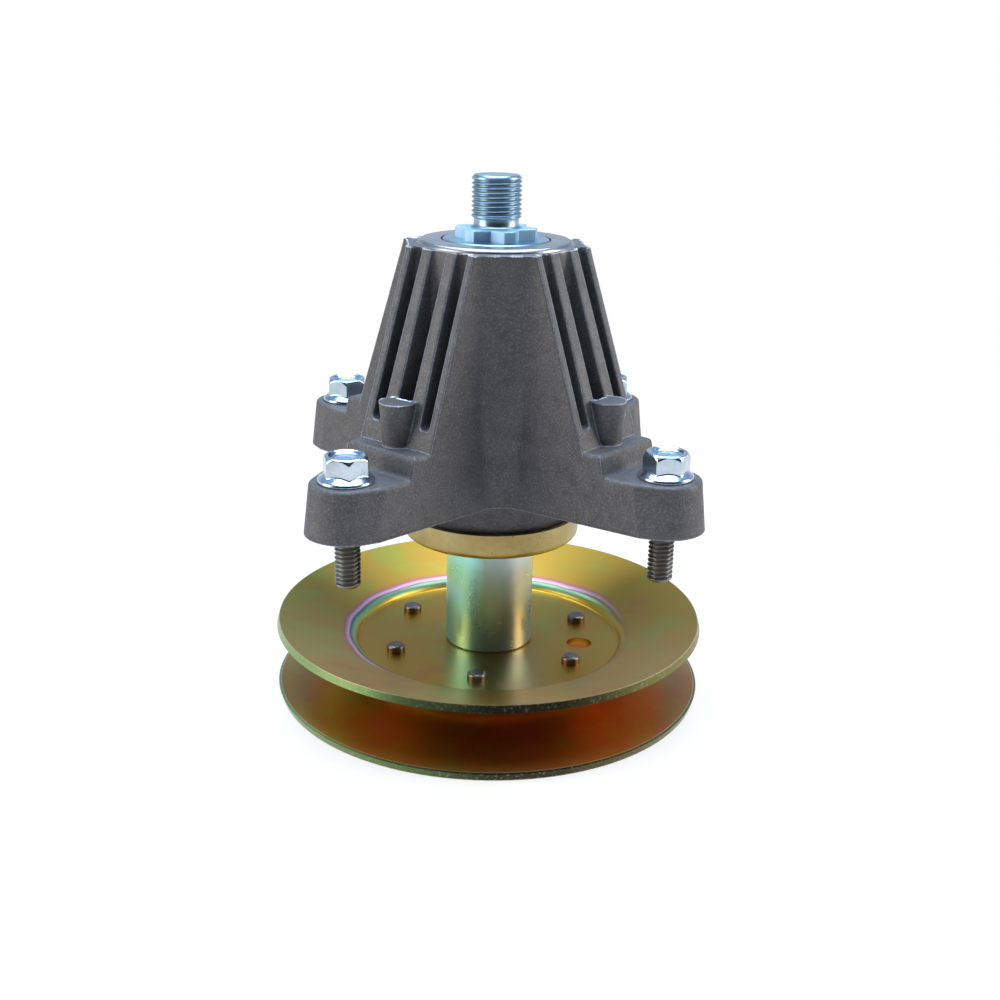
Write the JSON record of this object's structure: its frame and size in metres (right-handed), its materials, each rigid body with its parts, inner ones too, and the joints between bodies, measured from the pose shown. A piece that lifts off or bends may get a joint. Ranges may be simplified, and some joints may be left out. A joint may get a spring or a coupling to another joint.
{
  "type": "mower deck spindle",
  "caption": "Mower deck spindle: finned die-cast housing with bolt ears, star-drive blade shaft on ball bearings, spacer sleeve, dust cup and riveted V-belt pulley.",
  "frame": {"origin": "on the shaft's axis, in the plane of the pulley's lower rim", "axes": "+Z along the shaft towards the blade end; the housing's four arms lie on the diagonals of X and Y"},
  "size_m": [0.1454, 0.1454, 0.1727],
  "materials": {
    "die_cast": "as-cast, matte",
    "zinc": "clear blue zinc plating",
    "yellow_zinc": "iridescent yellow chromate",
    "brass_zinc": "satin yellow chromate",
    "bolt_zinc": "bright zinc plating",
    "pin_steel": "brown-grey plated steel",
    "shield_steel": "smooth pressed steel",
    "bearing_steel": "ground bearing steel",
    "cage_steel": "pressed steel",
    "plain_steel": "turned steel"
  },
  "bodies": {
    "housing": {"housing": "die_cast", "blade_shield_ring": "shield_steel", "mounting_bolts": "bolt_zinc", "pulley_bearing_outer_ring": "bearing_steel", "pulley_bearing_upper_seal": "cage_steel", "pulley_bearing_lower_seal": "cage_steel", "blade_bearing_outer_ring": "bearing_steel", "blade_bearing_upper_seal": "cage_steel", "blade_bearing_lower_seal": "cage_steel"},
    "rotor": {"shaft": "zinc", "dust_cup": "brass_zinc", "spacer_sleeve": "zinc", "bearing_spacer": "plain_steel", "pulley_upper_disc": "yellow_zinc", "pulley_lower_disc": "yellow_zinc", "pulley_rivets": "pin_steel", "pulley_nut": "bolt_zinc", "pulley_bearing_inner_ring": "bearing_steel", "blade_bearing_inner_ring": "bearing_steel"},
    "pulley_cage": {"pulley_bearing_cage": "cage_steel", "pulley_bearing_balls": "bearing_steel"},
    "blade_cage": {"blade_bearing_cage": "cage_steel", "blade_bearing_balls": "bearing_steel"}
  },
  "joints": [
    {"name": "spindle_spin", "type": "hinge", "parent": "housing", "child": "rotor", "pos_m": [0, 0, 0], "axis": [0, 0, 1], "continuous": true},
    {"name": "pulley_cage_spin", "type": "hinge", "parent": "housing", "child": "pulley_cage", "pos_m": [0, 0, 0.0652], "axis": [0, 0, 1], "continuous": true},
    {"name": "blade_cage_spin", "type": "hinge", "parent": "housing", "child": "blade_cage", "pos_m": [0, 0, 0.1423], "axis": [0, 0, 1], "continuous": true}
  ],
  "couplings": [
    {"joint": "pulley_cage_spin", "follows": "spindle_spin", "ratio": 0.3815},
    {"joint": "blade_cage_spin", "follows": "spindle_spin", "ratio": 0.3815}
  ]
}
